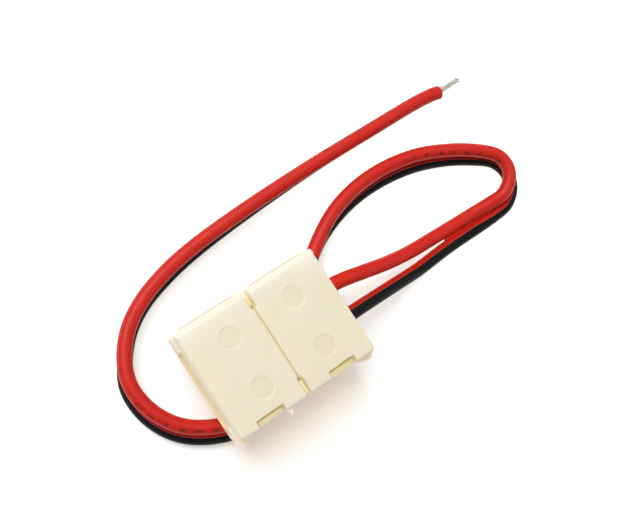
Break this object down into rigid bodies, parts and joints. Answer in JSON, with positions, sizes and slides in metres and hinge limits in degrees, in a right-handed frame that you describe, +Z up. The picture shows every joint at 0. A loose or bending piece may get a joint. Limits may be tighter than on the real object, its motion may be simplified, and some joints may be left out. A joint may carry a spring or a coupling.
{
  "type": "led strip connector",
  "caption": "Snap connector with latching lids on living hinges that joins a thin light strip to a lead of paired wires, on its own looped lead.",
  "frame": {"origin": "centre of the closed housing (the lead not counted)", "axes": "+X out of the wire end, -X the strip end, +Y the hinge side, +Z up out of the lids"},
  "size_m": [0.0509, 0.0213, 0.008],
  "materials": {
    "cream_plastic": "satin moulded polypropylene, slightly translucent",
    "red_insulation": "semi-gloss PVC",
    "black_insulation": "semi-gloss PVC",
    "tinned_spring_metal": "tin-plated spring bronze",
    "tinned_strands": "tinned copper strands"
  },
  "bodies": {
    "housing": {"base_housing": "cream_plastic", "positive_contact": "tinned_spring_metal", "negative_contact": "tinned_spring_metal", "red_conductor": "tinned_strands", "black_conductor": "tinned_strands", "red_wire": "red_insulation", "black_wire": "black_insulation", "red_bare_end": "tinned_strands", "black_bare_end": "tinned_strands"},
    "strip_flap": {"strip_lid": "cream_plastic"},
    "wire_flap": {"wire_lid": "cream_plastic"}
  },
  "joints": [
    {"name": "strip_flap_hinge", "type": "hinge", "parent": "housing", "child": "strip_flap", "pos_m": [0, 0.0052, 0.0015], "axis": [-1, 0, 0], "range_deg": [0, 180]},
    {"name": "wire_flap_hinge", "type": "hinge", "parent": "housing", "child": "wire_flap", "pos_m": [0, 0.0052, 0.0015], "axis": [-1, 0, 0], "range_deg": [0, 180]}
  ]
}
